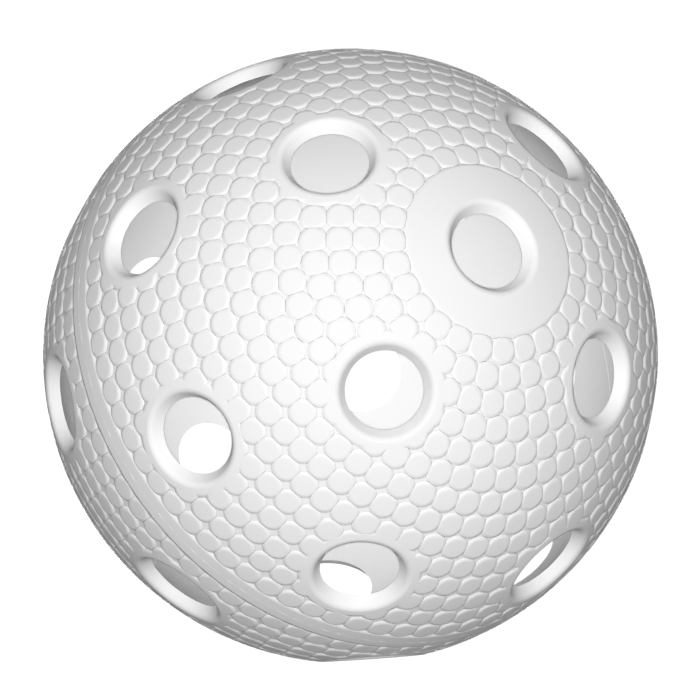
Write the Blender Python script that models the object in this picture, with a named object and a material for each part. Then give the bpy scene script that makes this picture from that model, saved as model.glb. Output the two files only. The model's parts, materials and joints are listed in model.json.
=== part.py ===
"""Floorball: two like moulded half shells, keyed and fused to each other by a weld ring at the seam.

Metres, +Z up. The origin is the middle of the ball, and Z runs through the two pole holes. Half a turn about X
puts either half in the other's place.
"""
import math

import bpy
from mathutils import Matrix, Vector

# Driving dimensions, in metres
BALL_DIAMETER = 0.072
WALL = 0.0015                # raised outer surface to the smooth inside
RELIEF = 0.00016             # height of the disc, rings and band over the ground between the scales
HOLE_EDGE_RADIUS = 0.0047    # sharp edge of a hole, on the inside
HOLE_ROUND = 0.0009          # rounding where a hole's wall meets the outer surface
RING_LAND = 0.00078          # smooth flat of the ring round a hole, outside the rounding
DISC_RADIUS = 0.0108         # smooth disc round a pole hole
BAND_WIDTH = 0.00314         # smooth band over the seam, both halves together
WELD_WEB = 0.0002            # fused sheet between the two rims
WELD_RECESS = 0.00012        # the web stops this far inside the band, which shows as a fine line
WELD_FLASH = 0.0002          # the web stands this far out of the inner wall
KEY_WIDTH = 0.0005           # fused rib in the rims' grooves
KEY_HEIGHT = 0.0007          # the rib's reach into each rim
FIT_GAP = 0.0001             # clearance between the weld ring and the shells

# Hole pattern of one half: row k lies k polar pitches from the pole and has k times as many holes as row one
HOLE_WALL_SLOPE = math.radians(54.4)
POLAR_PITCH = math.radians(36.0)
HOLE_ROWS = 2
FIRST_ROW_HOLES = 4

# Facets
TURN_STEPS = 48
HOLE_STEPS = 20
ARC_STEP = math.radians(9.0)
ROUND_STEPS = 2
MERGE_DISTANCE = 1.0e-6

# Worked out from the driving dimensions
OUTER_RADIUS = BALL_DIAMETER / 2
GROUND_RADIUS = OUTER_RADIUS - RELIEF
INNER_RADIUS = OUTER_RADIUS - WALL
EMBED_RADIUS = (GROUND_RADIUS + INNER_RADIUS) / 2
KEY_RADIUS = (OUTER_RADIUS + INNER_RADIUS) / 2
RIM_HEIGHT = WELD_WEB / 2 + FIT_GAP
KEY_TOP = WELD_WEB / 2 + KEY_HEIGHT
SEAM_TWIST = math.pi / (FIRST_ROW_HOLES * HOLE_ROWS)

PLASTIC_COLOUR = (0.88, 0.88, 0.87, 1.0)
WELD_COLOUR = (0.80, 0.80, 0.79, 1.0)
PLASTIC_ROUGHNESS = 0.42
WELD_ROUGHNESS = 0.55


def clear_scene():
    """Removes every object."""
    for item in list(bpy.data.objects):
        bpy.data.objects.remove(item, do_unlink=True)


def plastic(name, colour, roughness):
    """Returns a plain plastic material."""
    material = bpy.data.materials.new(name)
    material.use_nodes = True
    shader = material.node_tree.nodes["Principled BSDF"]
    shader.inputs["Base Color"].default_value = colour
    shader.inputs["Roughness"].default_value = roughness
    shader.inputs["Metallic"].default_value = 0.0
    return material


def on_sphere(radius, distance):
    """Returns the point of a sphere at a distance from the axis, as (distance, height)."""
    return distance, math.sqrt(radius ** 2 - distance ** 2)


def arc(radius, start, end):
    """Returns points of an arc about the ball's middle, by angle from the pole, both ends included."""
    count = max(1, math.ceil(abs(end - start) / ARC_STEP - 1.0e-9))
    angles = [start + (end - start) * i / count for i in range(count + 1)]
    return [(radius * math.sin(angle), radius * math.cos(angle)) for angle in angles]


def hole_side():
    """Returns a hole's side from its sharp inner edge up the cone and round to the outer surface."""
    edge = Vector(on_sphere(INNER_RADIUS, HOLE_EDGE_RADIUS))
    up = Vector((math.cos(HOLE_WALL_SLOPE), math.sin(HOLE_WALL_SLOPE)))
    inward = Vector((-up.y, up.x))
    # The rounding touches the cone and the outer sphere
    foot = edge - inward * HOLE_ROUND
    along = foot.dot(up)
    reach = math.sqrt(along ** 2 - foot.length_squared + (OUTER_RADIUS - HOLE_ROUND) ** 2) - along
    middle = foot + up * reach
    start = math.atan2(inward.y, inward.x)
    turn = math.atan2(middle.y, middle.x) - start
    side = [tuple(edge)]
    for i in range(ROUND_STEPS + 1):
        angle = start + turn * i / ROUND_STEPS
        side.append((middle.x + HOLE_ROUND * math.cos(angle), middle.y + HOLE_ROUND * math.sin(angle)))
    return side


def wire(name, points, closed):
    """Returns a mesh of edges through points of the XZ plane."""
    edges = [(i, i + 1) for i in range(len(points) - 1)]
    if closed:
        edges.append((len(points) - 1, 0))
    mesh = bpy.data.meshes.new(name)
    mesh.from_pydata([(x, 0.0, z) for x, z in points], edges, [])
    return mesh


def turned(name, mesh, steps):
    """Returns an object that turns a wire once about its own Z axis."""
    item = bpy.data.objects.new(name, mesh)
    bpy.context.scene.collection.objects.link(item)
    screw = item.modifiers.new("turn", "SCREW")
    screw.axis = "Z"
    screw.angle = 2 * math.pi
    screw.steps = steps
    screw.render_steps = steps
    screw.use_merge_vertices = True
    screw.merge_threshold = MERGE_DISTANCE
    screw.use_smooth_shade = True
    return item


def shell_wire():
    """Returns the closed section of a half shell, down its outer side and back up inside."""
    side = hole_side()
    mouth = math.atan2(side[-1][0], side[-1][1])
    disc = math.asin(DISC_RADIUS / OUTER_RADIUS)
    band = math.acos(BAND_WIDTH / 2 / OUTER_RADIUS)
    rim_out = math.acos(RIM_HEIGHT / OUTER_RADIUS)
    rim_in = math.acos(RIM_HEIGHT / INNER_RADIUS)
    edge = math.asin(HOLE_EDGE_RADIUS / INNER_RADIUS)
    half_groove = KEY_WIDTH / 2 + FIT_GAP
    groove = [
        (KEY_RADIUS + half_groove, RIM_HEIGHT),
        (KEY_RADIUS + half_groove, KEY_TOP + FIT_GAP),
        (KEY_RADIUS - half_groove, KEY_TOP + FIT_GAP),
        (KEY_RADIUS - half_groove, RIM_HEIGHT),
    ]
    outside = side[:-1] + arc(OUTER_RADIUS, mouth, disc) + arc(GROUND_RADIUS, disc, band)
    outside += arc(OUTER_RADIUS, band, rim_out)
    inside = arc(INNER_RADIUS, rim_in, edge)[:-1]
    return wire("half_shell_section", outside + groove + inside, closed=True)


def ring_wire():
    """Returns the closed section of the raised ring round a hole, sunk into the wall."""
    mouth_radius = hole_side()[-1][0]
    ring = math.asin((mouth_radius + RING_LAND) / OUTER_RADIUS)
    edge = math.asin(HOLE_EDGE_RADIUS / OUTER_RADIUS)
    mouth = math.asin(mouth_radius / OUTER_RADIUS)
    top = arc(OUTER_RADIUS, edge, mouth) + arc(OUTER_RADIUS, mouth, ring)[1:]
    return wire("hole_ring_section", top + arc(EMBED_RADIUS, ring, edge), closed=True)


def cutter_wire():
    """Returns the open section of a hole's cutter, from above the wall down to below it."""
    side = hole_side()
    edge_radius, edge_height = side[0]
    drop = WALL / 2
    tip_radius = edge_radius - drop / math.tan(HOLE_WALL_SLOPE)
    above = OUTER_RADIUS + WALL
    points = [(0.0, above), (side[-1][0], above)] + side[::-1]
    points += [(tip_radius, edge_height - drop), (0.0, edge_height - drop)]
    return wire("hole_cutter_section", points, closed=False)


def weld_wire():
    """Returns the closed section of the weld ring: a web with a rib up and a rib down."""
    half_web = WELD_WEB / 2
    rib_out = KEY_RADIUS + KEY_WIDTH / 2
    rib_in = KEY_RADIUS - KEY_WIDTH / 2
    web_out = OUTER_RADIUS - WELD_RECESS
    web_in = INNER_RADIUS - WELD_FLASH
    down = [(rib_out, KEY_TOP), (rib_out, half_web), (web_out, half_web), (web_out, -half_web)]
    down += [(rib_out, -half_web), (rib_out, -KEY_TOP)]
    back = [(rib_in, -KEY_TOP), (rib_in, -half_web), (web_in, -half_web), (web_in, half_web)]
    back += [(rib_in, half_web), (rib_in, KEY_TOP)]
    return wire("weld_section", down + back, closed=True)


def hole_directions():
    """Returns the polar angle and the azimuth of every hole of one half but the pole hole."""
    places = []
    for row in range(1, HOLE_ROWS + 1):
        count = row * FIRST_ROW_HOLES
        offset = SEAM_TWIST / 2 + (row - 1) * math.pi / count
        places += [(row * POLAR_PITCH, offset + 2 * math.pi * i / count) for i in range(count)]
    return places


def hide_as_helper(item):
    """Marks an object that only shapes another one."""
    item.hide_render = True
    item.display_type = "WIRE"


def helpers(name, mesh, frame):
    """Returns a collection with one turned helper at every hole of a half."""
    group = bpy.data.collections.new(name)
    for number, (polar, azimuth) in enumerate(hole_directions()):
        item = turned(f"{name}_{number + 1:02d}", mesh, HOLE_STEPS)
        item.parent = frame
        item.matrix_local = Matrix.Rotation(azimuth, 4, "Z") @ Matrix.Rotation(polar, 4, "Y")
        group.objects.link(item)
        hide_as_helper(item)
    return group


def combine(item, operation, group):
    """Joins a group of helpers to an object, or cuts it with them."""
    modifier = item.modifiers.new(group.name, "BOOLEAN")
    modifier.operation = operation
    modifier.solver = "EXACT"
    modifier.operand_type = "COLLECTION"
    modifier.collection = group


def half_shell(name, sections, placement, material):
    """Builds one half: the turned shell, its raised rings and its holes."""
    section, ring, cutter = sections
    frame = bpy.data.objects.new(f"{name}_frame", None)
    bpy.context.scene.collection.objects.link(frame)
    frame.matrix_world = placement
    shell = turned(name, section, TURN_STEPS)
    shell.parent = frame
    combine(shell, "UNION", helpers(f"{name}_rings", ring, frame))
    combine(shell, "DIFFERENCE", helpers(f"{name}_holes", cutter, frame))
    section.materials.append(material)
    return shell


def build():
    """Builds the ball."""
    clear_scene()
    ring, cutter = ring_wire(), cutter_wire()
    upright = Matrix.Identity(4)
    turned_over = Matrix.Rotation(math.pi, 4, "X")
    for name, placement in (("upper_half_shell", upright), ("lower_half_shell", turned_over)):
        material = plastic(f"{name}_plastic", PLASTIC_COLOUR, PLASTIC_ROUGHNESS)
        half_shell(name, (shell_wire(), ring, cutter), placement, material)
    weld = turned("weld_ring", weld_wire(), TURN_STEPS)
    weld.data.materials.append(plastic("weld_plastic", WELD_COLOUR, WELD_ROUGHNESS))


build()
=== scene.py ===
"""Floorball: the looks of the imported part.

Both half shells are modelled anew over their solids, with the relief that the solids leave out: rows of round
scales that meet in fine grooves, rings round the holes, a smooth disc at each pole and a smooth band at the seam,
all with one soft edge. A fused bead closes the seam, and a fine trim line runs along the lower half's band.
Metres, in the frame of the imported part.
"""
from __future__ import annotations

import json
import logging
import math
from dataclasses import dataclass, field
from enum import Enum
from typing import Any, Iterable, Mapping, Sequence, Union

import bpy
import numpy as np
from mathutils import Matrix, Vector

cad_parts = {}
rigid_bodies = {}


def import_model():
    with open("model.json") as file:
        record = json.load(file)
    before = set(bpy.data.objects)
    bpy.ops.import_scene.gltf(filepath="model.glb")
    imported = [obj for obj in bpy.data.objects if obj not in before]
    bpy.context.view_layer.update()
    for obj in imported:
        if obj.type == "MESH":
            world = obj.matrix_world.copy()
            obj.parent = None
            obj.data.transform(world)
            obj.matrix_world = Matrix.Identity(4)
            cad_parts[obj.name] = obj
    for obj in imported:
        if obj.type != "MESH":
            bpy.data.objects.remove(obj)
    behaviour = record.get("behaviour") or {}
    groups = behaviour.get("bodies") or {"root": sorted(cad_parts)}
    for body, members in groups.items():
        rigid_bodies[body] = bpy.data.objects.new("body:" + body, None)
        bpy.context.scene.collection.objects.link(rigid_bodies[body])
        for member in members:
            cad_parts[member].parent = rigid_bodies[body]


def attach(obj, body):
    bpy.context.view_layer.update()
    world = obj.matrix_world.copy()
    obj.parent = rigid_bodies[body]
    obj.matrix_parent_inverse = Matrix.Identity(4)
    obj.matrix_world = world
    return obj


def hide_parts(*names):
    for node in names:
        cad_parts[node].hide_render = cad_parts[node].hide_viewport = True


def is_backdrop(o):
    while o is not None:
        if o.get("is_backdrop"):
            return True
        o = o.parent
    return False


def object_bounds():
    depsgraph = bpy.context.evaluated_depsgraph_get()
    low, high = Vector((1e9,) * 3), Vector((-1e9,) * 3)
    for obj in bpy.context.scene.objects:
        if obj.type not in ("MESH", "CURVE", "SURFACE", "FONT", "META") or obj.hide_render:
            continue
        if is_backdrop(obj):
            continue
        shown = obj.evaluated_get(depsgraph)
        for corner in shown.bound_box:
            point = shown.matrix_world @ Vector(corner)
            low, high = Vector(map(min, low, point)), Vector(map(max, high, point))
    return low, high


LOG = logging.getLogger("floorball")
BODY = "root"

ON_AXIS = 1.0e-9    # a point nearer to the axis than this lies on it
MIDDLE = 0.5        # middle of a value that runs from 0 to 1
WHITE = (1.0, 1.0, 1.0, 1.0)
# Sockets of a Mix node for colours, whose names several sockets share
MIX_FIRST, MIX_SECOND, MIX_RESULT = 6, 7, 2

Point = tuple[float, float]
Colour = tuple[float, float, float]
Stops = tuple[tuple[float, float], ...]


class Join(Enum):
    """How a form changes the workpiece that it meets."""

    ADD = "UNION"
    CUT = "DIFFERENCE"


class Half(Enum):
    """The two halves of the ball, which are the same moulding."""

    UPPER = "upper"
    LOWER = "lower"

    @property
    def node(self) -> str:
        """Name of the half's solid."""
        return f"{self.value}_half_shell"

    @property
    def piece(self) -> str:
        """Name of the half's modelled piece."""
        return f"{self.value}_half_moulding"


def polar(radius: float, angle: float) -> Point:
    """Returns a point of a section as (distance from the axis, height), by its angle from the pole."""
    return radius * math.sin(angle), radius * math.cos(angle)


def arc(radius: float, start: float, end: float, step: float) -> list[Point]:
    """Returns points of an arc about the ball's middle.

    Args:
        radius: Radius of the arc.
        start: First angle from the pole.
        end: Last angle from the pole.
        step: Longest distance between points.

    Returns:
        The points, both ends included.
    """
    count = max(1, math.ceil(abs(end - start) * radius / step))
    return [polar(radius, start + (end - start) * i / count) for i in range(count + 1)]


@dataclass
class Form:
    """Points and faces of a closed solid, before it is a Blender mesh."""

    points: np.ndarray
    faces: list[tuple[int, ...]]

    @classmethod
    def turned(cls, section: Sequence[Point], steps: int) -> "Form":
        """Turns a section once about Z.

        Args:
            section: Points as (distance, height), from axis to axis, or closed and clear of the axis.
            steps: Number of steps of the turn.

        Returns:
            The solid, with its faces outwards.
        """
        angles = np.arange(steps) * (2 * math.pi / steps)
        points: list[np.ndarray] = []
        rings: list[list[int]] = []
        total = 0
        for distance, height in section:
            if distance < ON_AXIS:
                points.append(np.array([[0.0, 0.0, height]]))
                rings.append([total] * steps)
                total += 1
            else:
                across, along = distance * np.cos(angles), distance * np.sin(angles)
                points.append(np.stack([across, along, np.full(steps, height)], 1))
                rings.append(list(range(total, total + steps)))
                total += steps
        pairs = list(zip(rings, rings[1:]))
        if section[0][0] > ON_AXIS:
            pairs.append((rings[-1], rings[0]))
        faces = []
        for above, below in pairs:
            for i in range(steps):
                j = (i + 1) % steps
                face = dict.fromkeys((above[i], below[i], below[j], above[j]))
                if len(face) > 2:
                    faces.append(tuple(face))
        form = cls(np.concatenate(points), faces)
        return form if form.volume > 0 else form.flipped()

    @property
    def volume(self) -> float:
        """Signed volume.

        Returns:
            A positive volume where the faces look outwards.
        """
        fans = [(f[0], f[i], f[i + 1]) for f in self.faces for i in range(1, len(f) - 1)]
        a, b, c = (self.points[np.array(column)] for column in zip(*fans))
        return float(np.einsum("ij,ij->", a, np.cross(b, c)) / 6)

    def flipped(self) -> "Form":
        """Returns the form with its faces turned round."""
        return Form(self.points, [face[::-1] for face in self.faces])

    def placed(self, places: Iterable[Matrix]) -> "Form":
        """Returns copies of the form at places, in one form.

        Args:
            places: A turn about the ball's middle for each copy.

        Returns:
            All the copies.
        """
        points, faces = [], []
        for number, place in enumerate(places):
            turn = np.array(place.to_3x3())
            points.append(self.points @ turn.T)
            shift = number * len(self.points)
            faces += [tuple(corner + shift for corner in face) for face in self.faces]
        return Form(np.concatenate(points), faces)

    def item(self, name: str) -> bpy.types.Object:
        """Returns the form as an object in the scene.

        Args:
            name: Name of the object and of its mesh.

        Returns:
            The object.
        """
        mesh = bpy.data.meshes.new(name)
        mesh.from_pydata(self.points, [], self.faces)
        item = bpy.data.objects.new(name, mesh)
        bpy.context.scene.collection.objects.link(item)
        return item


class Workpiece:
    """A solid that is shaped by adding forms to it and cutting forms out of it."""

    def __init__(self, item: bpy.types.Object) -> None:
        """Starts from an object in the scene."""
        self.item = item
        self.tools: list[bpy.types.Object] = []

    def combine(self, join: Join, name: str, form: Form) -> None:
        """Adds a form, or cuts it out.

        Args:
            join: Whether the form is added or cut out.
            name: Name of the tool.
            form: The form.
        """
        tool = form.item(name)
        modifier = self.item.modifiers.new(name, "BOOLEAN")
        modifier.operation = join.value
        modifier.solver = "MANIFOLD"
        modifier.object = tool
        self.tools.append(tool)

    def finished(self) -> bpy.types.Object:
        """Applies what was added and cut, and removes the tools.

        Returns:
            The object with its final mesh.
        """
        shaped = self.item.evaluated_get(bpy.context.evaluated_depsgraph_get())
        mesh = bpy.data.meshes.new_from_object(shaped)
        self.item.modifiers.clear()
        rough, self.item.data = self.item.data, mesh
        bpy.data.meshes.remove(rough)
        for tool in self.tools:
            bpy.data.meshes.remove(tool.data)
        return self.item


@dataclass(frozen=True)
class SoftEdge:
    """Side of every raised form: rounded off the top, then a straight slope down to the ground."""

    relief: float = 0.000195
    rounding: float = 0.00093
    slope: float = math.radians(33.0)
    sink: float = 0.00025
    steps: int = 3

    def section(self, ball: float, top: float, outward: int, sunk: bool) -> list[Point]:
        """Returns the edge from its top down.

        Args:
            ball: Radius of the raised surface.
            top: Angle of the edge's top from the axis.
            outward: 1 where the edge looks away from the axis, -1 where it looks towards it.
            sunk: True to go on below the ground, for a form that is added to the wall.

        Returns:
            Points of a section.
        """
        turns = [self.slope * step / self.steps for step in range(self.steps + 1)]
        way = [(self.rounding * math.sin(turn), self.rounding * (1 - math.cos(turn))) for turn in turns]
        depth = self.relief + (self.sink if sunk else 0.0)
        reach, drop = way[-1]
        way.append((reach + (depth - drop) / math.tan(self.slope), depth))
        return [polar(ball - drop, top + outward * reach / ball) for reach, drop in way]


@dataclass(frozen=True)
class Hole:
    """A round hole: a sharp inner edge, a straight cone and a rounding that runs into the outer surface."""

    edge_radius: float = 0.0047
    rounding: float = 0.0009
    wall_slope: float = math.radians(54.4)
    round_steps: int = 6
    turn_steps: int = 72
    overshoot: float = 0.0008

    def side(self, outer: float, inner: float) -> list[Point]:
        """Returns the hole's side from the inner edge up to its mouth.

        Args:
            outer: Radius of the ball.
            inner: Radius of the hollow.

        Returns:
            Points of a section.
        """
        edge = Vector((self.edge_radius, math.sqrt(inner ** 2 - self.edge_radius ** 2)))
        up = Vector((math.cos(self.wall_slope), math.sin(self.wall_slope)))
        inward = Vector((-up.y, up.x))
        # The rounding touches the cone and the outer sphere
        foot = edge - inward * self.rounding
        along = foot.dot(up)
        reach = math.sqrt(along ** 2 - foot.length_squared + (outer - self.rounding) ** 2) - along
        middle = foot + up * reach
        start = math.atan2(inward.y, inward.x)
        turn = math.atan2(middle.y, middle.x) - start
        angles = [start + turn * i / self.round_steps for i in range(self.round_steps + 1)]
        rounded = [middle + self.rounding * Vector((math.cos(a), math.sin(a))) for a in angles]
        return [tuple(edge)] + [tuple(point) for point in rounded]

    def cutter(self, outer: float, inner: float) -> Form:
        """Returns the solid that cuts the hole out of the wall.

        Args:
            outer: Radius of the ball.
            inner: Radius of the hollow.

        Returns:
            The solid at the pole.
        """
        side = self.side(outer, inner)
        edge_radius, edge_height = side[0]
        tip = edge_radius - self.overshoot / math.tan(self.wall_slope)
        above, below = outer + self.overshoot, edge_height - self.overshoot
        section = [(0.0, above), (side[-1][0], above), *side[::-1], (tip, below), (0.0, below)]
        return Form.turned(section, self.turn_steps)


@dataclass(frozen=True)
class HolePattern:
    """Places of a half's holes: row k lies k pitches from the pole and has k times as many holes as row one."""

    pitch: float = math.radians(36.0)
    rows: int = 2
    first_row: int = 4
    first_azimuth: float = math.radians(11.25)

    def places(self) -> list[Matrix]:
        """Returns the places of the holes.

        Returns:
            A turn for each hole but the one at the pole.
        """
        turns = []
        for row in range(1, self.rows + 1):
            count = row * self.first_row
            start = self.first_azimuth + (row - 1) * math.pi / count
            tilt = Matrix.Rotation(row * self.pitch, 4, "Y")
            around = [start + 2 * math.pi * i / count for i in range(count)]
            turns += [Matrix.Rotation(azimuth, 4, "Z") @ tilt for azimuth in around]
        return turns


@dataclass(frozen=True)
class ScaleRows:
    """Rows of round scales between the disc at the pole and the band at the seam."""

    top_radius: float = 0.00117
    first_row: float = math.radians(20.0)
    pitch: float = math.radians(5.0)
    first_azimuth: float = math.radians(11.25)
    counts: tuple[int, ...] = (26, 32, 38, 44, 48, 54, 58, 62, 66, 68, 70, 72, 72, 74)
    tuck: float = 1.5e-6
    turn_steps: int = 20

    def groups(self) -> list[list[Matrix]]:
        """Returns the places of the scales.

        Returns:
            Their turns in four groups, in each of which no scale touches another.
        """
        groups: list[list[Matrix]] = [[], [], [], []]
        for row, count in enumerate(self.counts):
            tilt = Matrix.Rotation(self.first_row + row * self.pitch, 4, "Y")
            for i in range(count):
                turn = Matrix.Rotation(self.first_azimuth + 2 * math.pi * i / count, 4, "Z")
                groups[row % 2 * 2 + i % 2].append(turn @ tilt)
        return groups

    def scale(self, outer: float, edge: SoftEdge) -> Form:
        """Returns one scale at the pole, sunk into the ground.

        Args:
            outer: Radius of the ball.
            edge: The scale's edge.

        Returns:
            The solid. Its top lies a hair under the ball's surface, so that it runs into a ring's top.
        """
        top = outer - self.tuck
        angle = math.asin(self.top_radius / outer)
        side = edge.section(top, angle, 1, sunk=True)
        section = [(0.0, top), *side, (0.0, side[-1][1])]
        return Form.turned(section, self.turn_steps)


@dataclass(frozen=True)
class SeamSizes:
    """Sizes at the seam that a half and the weld share."""

    rim_height: float = 0.00003
    band_width: float = 0.00274
    key_width: float = 0.0005
    key_height: float = 0.0008
    fit_gap: float = 0.0001


@dataclass(frozen=True)
class TrimLine:
    """Fine groove that runs all round one half, at the outer edge of its band. Distance is from the seam."""

    distance: float = 0.00145
    width: float = 0.00012
    depth: float = 0.00012
    headroom: float = 0.0001
    turn_steps: int = 160

    def cutter(self, outer: float) -> Form:
        """Returns the solid that cuts the groove into an upper half.

        Args:
            outer: Radius of the ball.

        Returns:
            A ring, half as wide at its bottom as at its top.
        """
        middle = math.acos(self.distance / outer)
        top, bottom = self.width / 2 / outer, self.width / 4 / outer
        high, low = outer + self.headroom, outer - self.depth
        section = [polar(high, middle - top), polar(high, middle + top)]
        section += [polar(low, middle + bottom), polar(low, middle - bottom)]
        return Form.turned(section, self.turn_steps)


Operand = Union["Value", float]


class Value:
    """A number that varies over a surface. Arithmetic on it adds Math nodes."""

    def __init__(self, sheet: "NodeSheet", socket: bpy.types.NodeSocket) -> None:
        """Wraps an output socket of a node sheet."""
        self.sheet = sheet
        self.socket = socket

    def _math(self, operation: str, first: Operand, second: Operand) -> "Value":
        """Adds one Math node and returns its value."""
        node = self.sheet.node("ShaderNodeMath", {"operation": operation}, {0: first, 1: second})
        return Value(self.sheet, node.outputs[0])

    def __add__(self, other: Operand) -> "Value":
        """Sum."""
        return self._math("ADD", self, other)

    __radd__ = __add__

    def __sub__(self, other: Operand) -> "Value":
        """Difference."""
        return self._math("SUBTRACT", self, other)

    def __rsub__(self, other: Operand) -> "Value":
        """Difference from a number."""
        return self._math("SUBTRACT", other, self)

    def __mul__(self, other: Operand) -> "Value":
        """Product."""
        return self._math("MULTIPLY", self, other)

    __rmul__ = __mul__

    def larger(self, other: Operand) -> "Value":
        """Larger of two."""
        return self._math("MAXIMUM", self, other)

    def below(self, other: Operand) -> "Value":
        """1 where it is smaller than the other, else 0."""
        return self._math("LESS_THAN", self, other)


@dataclass(frozen=True)
class Noise:
    """Noise over a surface: waves per metre, finer layers on top, and how strong each of those is."""

    scale: float
    detail: float
    roughness: float


class NodeSheet:
    """Nodes of a material or of the world."""

    def __init__(self, owner: Union[bpy.types.Material, bpy.types.World]) -> None:
        """Starts from an empty sheet.

        Args:
            owner: Material or world that the nodes belong to.
        """
        owner.use_nodes = True
        self.tree = owner.node_tree
        self.tree.nodes.clear()

    def node(
        self,
        kind: str,
        settings: Mapping[str, Any] | None = None,
        inputs: Mapping[str | int, Any] | None = None,
    ) -> bpy.types.Node:
        """Adds a node.

        Args:
            kind: The node's type.
            settings: Its properties, which are set first. "stops" gives a ramp's places and colours.
            inputs: Values or links of its sockets, by name or number.

        Returns:
            The node.
        """
        node = self.tree.nodes.new(kind)
        for name, setting in (settings or {}).items():
            if name == "stops":
                self._set_stops(node.color_ramp, setting)
            else:
                setattr(node, name, setting)
        for key, value in (inputs or {}).items():
            if isinstance(value, Value):
                self.tree.links.new(value.socket, node.inputs[key])
            elif isinstance(value, bpy.types.NodeSocket):
                self.tree.links.new(value, node.inputs[key])
            else:
                node.inputs[key].default_value = value
        return node

    @staticmethod
    def _set_stops(ramp: bpy.types.ColorRamp, stops: Stops) -> None:
        """Sets a grey ramp's stops.

        Args:
            ramp: The ramp.
            stops: Its stops, as (place, level).
        """
        while len(ramp.elements) < len(stops):
            ramp.elements.new(1.0)
        for element, (place, level) in zip(ramp.elements, stops):
            element.position = place
            element.color = (level, level, level, 1.0)

    def value(self, node: bpy.types.Node, output: str | int = 0) -> Value:
        """Returns an output of a node as a value."""
        return Value(self, node.outputs[output])

    def noise(self, noise: Noise) -> Value:
        """Returns noise over the surface.

        Args:
            noise: Its scale, detail and roughness.

        Returns:
            A value of about 0 to 1.
        """
        place = self.node("ShaderNodeTexCoord").outputs["Object"]
        inputs = {"Vector": place, "Scale": noise.scale, "Detail": noise.detail, "Roughness": noise.roughness}
        return self.value(self.node("ShaderNodeTexNoise", {"noise_dimensions": "3D"}, inputs), "Fac")

    def ramp(self, value: Value, stops: Stops) -> Value:
        """Returns a value through a grey ramp."""
        return self.value(self.node("ShaderNodeValToRGB", {"stops": stops}, {"Fac": value}), "Color")

    def mixed(
        self, share: Value, first: Union[Colour, bpy.types.NodeSocket], second: Colour
    ) -> bpy.types.NodeSocket:
        """Mixes two colours.

        Args:
            share: Share of the second colour, 0 to 1.
            first: First colour, or the socket that gives it.
            second: Second colour.

        Returns:
            The mixed colour.
        """
        start = first if isinstance(first, bpy.types.NodeSocket) else (*first, 1.0)
        inputs = {"Factor": share, MIX_FIRST: start, MIX_SECOND: (*second, 1.0)}
        return self.node("ShaderNodeMix", {"data_type": "RGBA"}, inputs).outputs[MIX_RESULT]

    def crease(self, reach: float, samples: int, stops: Stops) -> Value:
        """Returns where the surface lies deep in a crease.

        Args:
            reach: Distance within which other walls count.
            samples: Rays for each look round.
            stops: Ramp from openness to the result, as (place, level).

        Returns:
            1 at the bottom of a crease, 0 on open surface.
        """
        settings = {"samples": samples, "only_local": True}
        look = self.node("ShaderNodeAmbientOcclusion", settings, {"Distance": reach})
        return self.ramp(self.value(look, "AO"), stops)

    def stripe(self, height: float, width: float, floor: float) -> Value:
        """Returns a level stripe round the outside of the ball.

        Args:
            height: Height of the stripe's middle.
            width: Width of the stripe, measured upwards.
            floor: Distance from the ball's middle below which there is no stripe.

        Returns:
            1 in the stripe, else 0.
        """
        place = self.node("ShaderNodeTexCoord").outputs["Object"]
        off = self.value(self.node("ShaderNodeSeparateXYZ", None, {"Vector": place}), "Z") - height
        reach = self.value(self.node("ShaderNodeVectorMath", {"operation": "LENGTH"}, {0: place}), "Value")
        return (off * off).below((width / 2) ** 2) * (1 - reach.below(floor))

    def output(self, kind: str, shader: bpy.types.NodeSocket) -> None:
        """Ends the sheet with a shader."""
        self.node(kind, None, {"Surface": shader})


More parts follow.
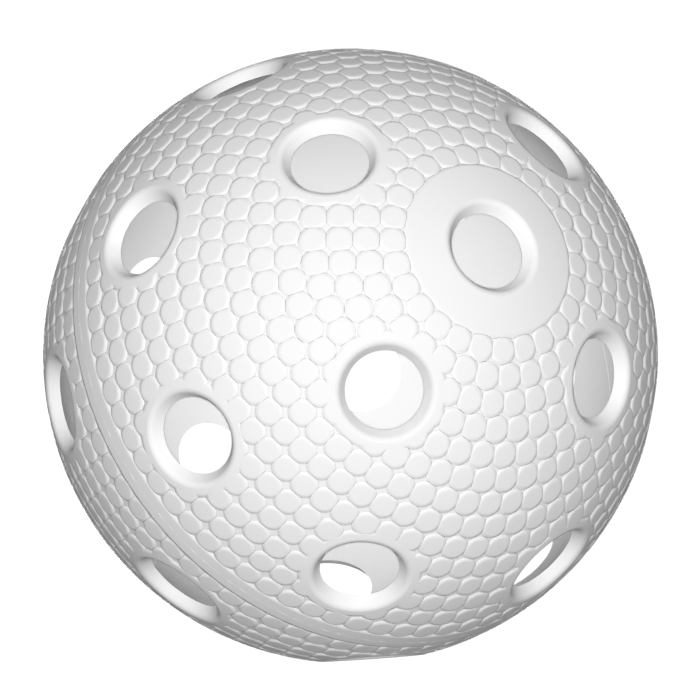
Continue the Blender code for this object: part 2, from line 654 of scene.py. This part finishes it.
@dataclass(frozen=True)
class MouldedPlastic:
    """White moulded polythene: clouded flow, fine grain from the mould, rubbed spots, painted shade in the
    grooves and along the trim line.
    """

    name: str = "moulded_polythene"
    colour: Colour = (0.86, 0.86, 0.86)
    shade: Colour = (0.80, 0.80, 0.80)
    cloud: Noise = Noise(120.0, 4.0, 0.6)
    cloud_depth: float = 0.35
    grain: Noise = Noise(3200.0, 3.0, 0.55)
    grain_height: float = 1.2e-6
    rub: Noise = Noise(420.0, 6.0, 0.65)
    rub_stops: Stops = ((0.42, 0.0), (0.62, 1.0))
    rub_height: float = 0.6
    # Painted shade in the creases: its colour, how far the look round reaches, its rays and its ramp
    painted_shade: Colour = (0.26, 0.26, 0.26)
    painted_shade_reach: float = 0.00012
    painted_shade_samples: int = 8
    painted_shade_stops: Stops = ((0.80, 1.0), (0.95, 0.0))
    line: TrimLine = TrimLine()
    # Painted shade in the trim line's groove, and the distance from the middle below which none is painted
    line_painted_shade: Colour = (0.14, 0.14, 0.14)
    line_floor: float = 0.0355
    roughness: float = 0.60
    roughness_swing: float = 0.10
    gloss: float = 0.04

    def material(self) -> bpy.types.Material:
        """Returns the finish as a material.

        Returns:
            The material. Grain and rubbed spots share the bump and the swing of the roughness.
        """
        material = bpy.data.materials.new(self.name)
        sheet = NodeSheet(material)
        cloud = sheet.noise(self.cloud)
        rub = sheet.ramp(sheet.noise(self.rub), self.rub_stops)
        grain = sheet.noise(self.grain)
        clouded = sheet.mixed(cloud * self.cloud_depth, self.colour, self.shade)
        # Painted shade: the colour turns dark grey where the surface lies deep in a crease, between scales,
        # rings, disc and band
        painted_shade_share = sheet.crease(self.painted_shade_reach, self.painted_shade_samples, self.painted_shade_stops)
        # Painted shade: a dark stripe along the trim line's groove, on the outside of the lower half only
        lined = sheet.stripe(-self.line.distance, self.line.width, self.line_floor)
        colour = sheet.mixed(lined, sheet.mixed(painted_shade_share, clouded, self.painted_shade), self.line_painted_shade)
        swing = self.roughness_swing
        roughness = self.roughness + (rub - MIDDLE) * swing + (grain - MIDDLE) * swing
        bump = sheet.node(
            "ShaderNodeBump",
            None,
            {"Strength": 1.0, "Distance": self.grain_height, "Height": grain + self.rub_height * rub},
        )
        shader = sheet.node(
            "ShaderNodeBsdfPrincipled",
            None,
            {
                "Base Color": colour,
                "Roughness": roughness,
                "Specular IOR Level": self.gloss,
                "Normal": bump.outputs["Normal"],
            },
        )
        sheet.output("ShaderNodeOutputMaterial", shader.outputs["BSDF"])
        return material


@dataclass(frozen=True)
class FusedPlastic:
    """The same polythene after welding: a little glossier, rippled along the bead."""

    name: str = "fused_polythene"
    colour: Colour = (0.90, 0.90, 0.90)
    shade: Colour = (0.82, 0.82, 0.82)
    ripple: Noise = Noise(900.0, 3.0, 0.5)
    ripple_height: float = 6.0e-6
    roughness: float = 0.38
    roughness_swing: float = 0.16
    ior: float = 1.51

    def material(self) -> bpy.types.Material:
        """Returns the finish as a material.

        Returns:
            The material. One ripple sets its colour, roughness and bump.
        """
        material = bpy.data.materials.new(self.name)
        sheet = NodeSheet(material)
        ripple = sheet.noise(self.ripple)
        colour = sheet.mixed(ripple, self.colour, self.shade)
        roughness = self.roughness + (ripple - MIDDLE) * self.roughness_swing
        bump = sheet.node(
            "ShaderNodeBump", None, {"Strength": 1.0, "Distance": self.ripple_height, "Height": ripple}
        )
        shader = sheet.node(
            "ShaderNodeBsdfPrincipled",
            None,
            {
                "Base Color": colour,
                "Roughness": roughness,
                "IOR": self.ior,
                "Normal": bump.outputs["Normal"],
            },
        )
        sheet.output("ShaderNodeOutputMaterial", shader.outputs["BSDF"])
        return material


@dataclass
class HalfShell:
    """The moulding that both halves are: shell, disc, band, rings, scales and holes in one piece."""

    finish: bpy.types.Material
    outer: float = 0.036
    wall: float = 0.00155
    disc_radius: float = 0.01051
    ring_radius: float = 0.00676
    ring_steps: int = 120
    turn_steps: int = 160
    arc_step: float = 0.0018
    fine_step: float = 0.0003
    smooth_limit: float = math.radians(12.0)    # faces that meet at less are shaded as one
    follow_limit: float = math.radians(2.5)     # faces this near to a sphere's slope take its normals
    outward_limit: float = 0.5                  # a face counts as outer above this share of facing out
    top_depth: float = 3.2e-6                   # corners this near to the ball's surface take its normals
    edge: SoftEdge = field(default_factory=SoftEdge)
    hole: Hole = field(default_factory=Hole)
    holes: HolePattern = field(default_factory=HolePattern)
    scales: ScaleRows = field(default_factory=ScaleRows)
    seam: SeamSizes = field(default_factory=SeamSizes)
    line: TrimLine = field(default_factory=TrimLine)

    @property
    def inner(self) -> float:
        """Radius of the hollow."""
        return self.outer - self.wall

    @property
    def middle(self) -> float:
        """Radius of the middle of the wall, where the weld's key runs."""
        return self.outer - self.wall / 2

    def section(self) -> list[Point]:
        """Returns the shell's closed section.

        Returns:
            Points down its outer side, through the rim's groove and back up inside.
        """
        seam, ball = self.seam, self.outer
        side = self.hole.side(ball, self.inner)
        mouth = math.atan2(*side[-1])
        disc_edge = self.edge.section(ball, math.asin(self.disc_radius / ball), 1, sunk=False)
        band_edge = self.edge.section(ball, math.acos(seam.band_width / 2 / ball), -1, sunk=False)[::-1]
        low = ball - self.edge.relief
        ground = arc(low, math.atan2(*disc_edge[-1]), math.atan2(*band_edge[0]), self.arc_step)
        disc = arc(ball, mouth, math.atan2(*disc_edge[0]), self.arc_step / 2)
        rim = math.acos(seam.rim_height / ball)
        band = arc(ball, math.atan2(*band_edge[-1]), rim, self.arc_step / 2)
        hollow = arc(
            self.inner,
            math.acos(seam.rim_height / self.inner),
            math.asin(self.hole.edge_radius / self.inner),
            self.arc_step,
        )
        outside = side[:-1] + disc[:-1] + disc_edge + ground[1:-1] + band_edge + band[1:]
        return outside + self.groove() + hollow[:-1]

    def groove(self) -> list[Point]:
        """Returns the groove in the rim for the weld's key.

        Returns:
            Points of the section from the outer side to the inner one.
        """
        half_width = self.seam.key_width / 2 + self.seam.fit_gap
        low, high = self.seam.rim_height, self.seam.key_height + self.seam.fit_gap
        outer, inner = self.middle + half_width, self.middle - half_width
        return [(outer, low), (outer, high), (inner, high), (inner, low)]

    def ring(self) -> Form:
        """Returns the raised ring round a hole.

        Returns:
            The solid at the pole, sunk into the ground.
        """
        ball = self.outer
        side = self.edge.section(ball, math.asin(self.ring_radius / ball), 1, sunk=True)
        start = math.asin(self.hole.edge_radius / ball)
        top = arc(ball, start, math.atan2(*side[0]), self.fine_step)
        depth = math.hypot(*side[-1])
        return Form.turned(top[:-1] + side + [polar(depth, start)], self.ring_steps)

    def covered(self, place: Matrix, holes: Sequence[Vector]) -> bool:
        """Returns whether a scale lies wholly inside a ring.

        Args:
            place: Turn that puts the scale in its place.
            holes: Axes of the holes.

        Returns:
            True where the ring hides the scale.
        """
        axis = place.col[2].xyz
        ring, scale = self.ring_radius / self.outer, self.scales.top_radius / self.outer
        room = math.asin(ring) - math.asin(scale)
        return any(axis.angle(hole) < room for hole in holes)

    def build(self) -> bpy.types.Object:
        """Models the moulding.

        Returns:
            The upper half.
        """
        places = self.holes.places()
        axes = [place.col[2].xyz for place in places]
        work = Workpiece(Form.turned(self.section(), self.turn_steps).item(Half.UPPER.piece))
        work.combine(Join.ADD, "rings", self.ring().placed(places))
        scale = self.scales.scale(self.outer, self.edge)
        for number, group in enumerate(self.scales.groups()):
            shown = [place for place in group if not self.covered(place, axes)]
            work.combine(Join.ADD, f"scales_{number}", scale.placed(shown))
        work.combine(Join.CUT, "holes", self.hole.cutter(self.outer, self.inner).placed(places))
        item = work.finished()
        self.smooth(item.data)
        return item

    def second(self, first: bpy.types.Object) -> bpy.types.Object:
        """Makes the other half.

        Args:
            first: The upper half.

        Returns:
            The lower half, a copy of the upper one with the trim line, turned over.
        """
        copy = bpy.data.objects.new(Half.LOWER.piece, first.data.copy())
        bpy.context.scene.collection.objects.link(copy)
        work = Workpiece(copy)
        work.combine(Join.CUT, "trim_line", self.line.cutter(self.outer))
        item = work.finished()
        item.data.transform(Matrix.Rotation(math.pi, 4, "X"))
        self.smooth(item.data)
        return item

    def smooth(self, mesh: bpy.types.Mesh) -> None:
        """Shades a mesh smooth, with the ball's own normals where it follows a sphere.

        Args:
            mesh: The half's mesh.
        """
        mesh.shade_smooth()
        mesh.set_sharp_from_angle(angle=self.smooth_limit)
        count, corners = len(mesh.polygons), len(mesh.loops)
        points = np.empty(len(mesh.vertices) * 3)
        mesh.vertices.foreach_get("co", points)
        points = points.reshape(-1, 3)
        normals, middles = np.empty(count * 3), np.empty(count * 3)
        mesh.polygons.foreach_get("normal", normals)
        mesh.polygons.foreach_get("center", middles)
        normals, middles = normals.reshape(-1, 3), middles.reshape(-1, 3)
        sizes, vertex = np.empty(count, np.int32), np.empty(corners, np.int32)
        mesh.polygons.foreach_get("loop_total", sizes)
        mesh.loops.foreach_get("vertex_index", vertex)
        facing = np.einsum("ij,ij->i", normals, middles) / np.linalg.norm(middles, axis=1)
        round_faces = np.abs(facing) > math.cos(self.follow_limit)
        follows = np.repeat(np.where(round_faces, np.sign(facing), 0.0), sizes)
        place = points[vertex]
        reach = np.linalg.norm(place, axis=1)
        outside = np.repeat(facing > self.outward_limit, sizes)
        follows[(reach > self.outer - self.top_depth) & outside] = 1.0
        # A zero normal leaves the corner as it is shaded
        own = place / reach[:, None] * follows[:, None]
        mesh.normals_split_custom_set(own.tolist())

    def dress(self, item: bpy.types.Object, half: Half) -> None:
        """Gives a half its finish and its place on the part.

        Args:
            item: The half's piece.
            half: Which half it is.
        """
        item.data.materials.clear()
        item.data.materials.append(self.finish)
        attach(item, BODY)
        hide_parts(half.node)


@dataclass
class WeldRing:
    """The fused ring in the seam: a web with a key up and a key down, and a fine bead outside and inside."""

    finish: bpy.types.Material
    node: str = "weld_ring"
    piece: str = "seam_weld"
    outer: float = 0.036
    wall: float = 0.00155
    bead_height: float = 0.00003
    bead_width: float = 0.00013
    flash_height: float = 0.00002
    overlap: float = 0.000005
    turn_steps: int = 720
    waves: tuple[tuple[int, float], ...] = ((122, 0.4), (119, 1.9), (37, 3.1))    # waves per turn, start
    wave_gain: float = 2.4
    wave_start: float = 0.1
    sharp_angle: float = math.radians(40.0)
    seam: SeamSizes = field(default_factory=SeamSizes)

    def section(self) -> list[Point]:
        """Returns the ring's closed section.

        Returns:
            Points round the upper key, the bead, the lower key and the flash inside.
        """
        seam = self.seam
        web = seam.rim_height + self.overlap
        middle = self.outer - self.wall / 2
        inner = self.outer - self.wall
        rib_out, rib_in = middle + seam.key_width / 2, middle - seam.key_width / 2
        foot, half = self.outer - self.overlap, self.bead_width / 2
        bead = [(foot, half), (self.outer + self.bead_height, 0.0), (foot, -half)]
        flash = [(inner + self.overlap, -web), (inner - self.flash_height, 0.0), (inner + self.overlap, web)]
        upper = [(rib_in, web), (rib_in, seam.key_height), (rib_out, seam.key_height), (rib_out, web)]
        lower = [(rib_out, -web), (rib_out, -seam.key_height), (rib_in, -seam.key_height), (rib_in, -web)]
        return upper + bead + lower + flash

    def build(self) -> bpy.types.Object:
        """Models the ring, with a bead that comes and goes along the seam.

        Returns:
            The ring's piece.
        """
        form = Form.turned(self.section(), self.turn_steps)
        reach = np.hypot(form.points[:, 0], form.points[:, 1])
        around = np.arctan2(form.points[:, 1], form.points[:, 0])
        swing = sum(np.sin(count * around + start) for count, start in self.waves) / len(self.waves)
        proud = reach > self.outer
        share = np.clip(self.wave_start + self.wave_gain * swing, 0.0, 1.0)
        foot, height = self.outer - self.overlap, self.bead_height + self.overlap
        wanted = np.where(proud, foot + height * share, reach)
        form.points[:, :2] *= (wanted / reach)[:, None]
        item = form.item(self.piece)
        item.data.shade_smooth()
        item.data.set_sharp_from_angle(angle=self.sharp_angle)
        return item

    def dress(self, item: bpy.types.Object) -> None:
        """Gives the ring its finish and its place on the part.

        Args:
            item: The ring's piece.
        """
        item.data.materials.append(self.finish)
        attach(item, BODY)
        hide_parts(self.node)


@dataclass
class Studio:
    """Pale floor, lamps in front, behind and above, even light, and the photograph's parallel view."""

    right: Vector = field(default_factory=lambda: Vector((-0.58536, 0.66245, 0.46746)))
    up: Vector = field(default_factory=lambda: Vector((-0.55893, -0.74737, 0.35923)))
    view_width: float = 0.081951
    aside: float = -0.000062
    above: float = 0.000699
    distance: float = 0.5
    clip: tuple[float, float] = (0.01, 10.0)
    lamp_strength: float = 3.19
    lamp_angle: float = math.radians(0.4)
    fill_strength: float = 2.0
    fill_angle: float = math.radians(12.0)
    soft_power: float = 0.42
    soft_size: float = 0.6
    soft_distance: float = 0.6
    soft_tilt: float = math.radians(48.0)
    light_level: float = 0.09
    floor_size: float = 3.0
    floor_colour: Colour = (0.55, 0.55, 0.55)
    floor_glow: float = 0.60
    floor_bounce: Colour = (0.06, 0.06, 0.06)

    @property
    def back(self) -> Vector:
        """Direction from the ball to the camera."""
        return self.right.cross(self.up).normalized()

    def camera(self) -> None:
        """Sets up the parallel view of the photograph."""
        data = bpy.data.cameras.new("view")
        data.type = "ORTHO"
        data.ortho_scale = self.view_width
        data.clip_start, data.clip_end = self.clip
        camera = bpy.data.objects.new("view", data)
        bpy.context.scene.collection.objects.link(camera)
        back = self.back
        right = self.up.cross(back).normalized()
        turn = Matrix((right, back.cross(right), back)).transposed().to_4x4()
        place = right * self.aside + back.cross(right) * self.above + back * self.distance
        camera.matrix_world = Matrix.Translation(place) @ turn
        bpy.context.scene.camera = camera

    def lamps(self) -> None:
        """Adds the main lamp behind the camera, a fill from the far side and a wide soft lamp over the view."""
        main = bpy.data.lights.new("main_lamp", "SUN")
        main.energy, main.angle = self.lamp_strength, self.lamp_angle
        self.aim(main, self.back, self.distance)
        fill = bpy.data.lights.new("fill_lamp", "SUN")
        fill.energy, fill.angle = self.fill_strength, self.fill_angle
        self.aim(fill, -self.back, self.distance)
        soft = bpy.data.lights.new("soft_lamp", "AREA")
        soft.energy, soft.size = self.soft_power, self.soft_size
        over = self.back * math.cos(self.soft_tilt) + self.up * math.sin(self.soft_tilt)
        self.aim(soft, over, self.soft_distance)

    @staticmethod
    def aim(data: bpy.types.Light, towards: Vector, distance: float) -> None:
        """Puts a lamp in a direction from the ball, looking at the ball.

        Args:
            data: The lamp.
            towards: Direction from the ball to the lamp.
            distance: Distance of the lamp.
        """
        lamp = bpy.data.objects.new(data.name, data)
        bpy.context.scene.collection.objects.link(lamp)
        lamp.rotation_mode = "QUATERNION"
        lamp.rotation_quaternion = towards.to_track_quat("Z", "Y")
        lamp.location = towards.normalized() * distance

    def seen_directly(self, sheet: NodeSheet) -> Value:
        """Tells what is seen from what only lights the ball.

        Args:
            sheet: Nodes that ask.

        Returns:
            1 for what the camera sees, itself or by a reflection or through glass, else 0.
        """
        path = sheet.node("ShaderNodeLightPath")
        camera, glossy = sheet.value(path, "Is Camera Ray"), sheet.value(path, "Is Glossy Ray")
        return camera.larger(glossy).larger(sheet.value(path, "Is Transmission Ray"))

    def surroundings(self) -> None:
        """Sets even light all round, with a white background."""
        world = bpy.data.worlds.new("studio")
        bpy.context.scene.world = world
        sheet = NodeSheet(world)
        seen = self.seen_directly(sheet)
        level = self.light_level + seen * (1.0 - self.light_level)
        shader = sheet.node("ShaderNodeBackground", None, {"Color": WHITE, "Strength": level})
        sheet.output("ShaderNodeOutputWorld", shader.outputs["Background"])

    def floor(self, height: float) -> None:
        """Adds the pale floor that the ball stands on.

        Args:
            height: Height of the floor.
        """
        half = self.floor_size / 2
        mesh = bpy.data.meshes.new("floor")
        corners = [(-half, -half), (half, -half), (half, half), (-half, half)]
        mesh.from_pydata([(x, y, height) for x, y in corners], [], [(0, 1, 2, 3)])
        floor = bpy.data.objects.new("floor", mesh)
        bpy.context.scene.collection.objects.link(floor)
        material = bpy.data.materials.new("pale_floor")
        sheet = NodeSheet(material)
        matt = sheet.node("ShaderNodeBsdfDiffuse", None, {"Color": (*self.floor_colour, 1.0)})
        glow = sheet.node("ShaderNodeEmission", None, {"Color": WHITE, "Strength": self.floor_glow})
        pale = sheet.node("ShaderNodeAddShader", None, {0: matt.outputs["BSDF"], 1: glow.outputs["Emission"]})
        bounce = sheet.node("ShaderNodeBsdfDiffuse", None, {"Color": (*self.floor_bounce, 1.0)})
        inputs = {"Fac": self.seen_directly(sheet), 1: bounce.outputs["BSDF"], 2: pale.outputs["Shader"]}
        mix = sheet.node("ShaderNodeMixShader", None, inputs)
        sheet.output("ShaderNodeOutputMaterial", mix.outputs["Shader"])
        mesh.materials.append(material)
        # The fill comes up through the floor
        floor.visible_shadow = False
        floor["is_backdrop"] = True

    def build(self, floor_height: float) -> None:
        """Builds the whole studio.

        Args:
            floor_height: Height of the floor.
        """
        bpy.context.scene.view_settings.view_transform = "Standard"
        self.floor(floor_height)
        self.surroundings()
        self.lamps()
        self.camera()


def clear_scene() -> None:
    """Removes what a new Blender file holds."""
    for item in list(bpy.data.objects):
        bpy.data.objects.remove(item, do_unlink=True)


def main() -> None:
    """Builds the dressed ball and the studio round it."""
    logging.basicConfig(level=logging.INFO, format="%(name)s: %(message)s")
    clear_scene()
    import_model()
    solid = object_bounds()
    shell = HalfShell(MouldedPlastic().material())
    upper = shell.build()
    for half, item in ((Half.UPPER, upper), (Half.LOWER, shell.second(upper))):
        shell.dress(item, half)
        LOG.info("%s: %d faces for %s", item.name, len(item.data.polygons), half.node)
    weld = WeldRing(FusedPlastic().material())
    item = weld.build()
    weld.dress(item)
    LOG.info("%s: %d faces for %s", item.name, len(item.data.polygons), weld.node)
    Studio().build(solid[0].z)
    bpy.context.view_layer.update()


if __name__ == "__main__":
    main()
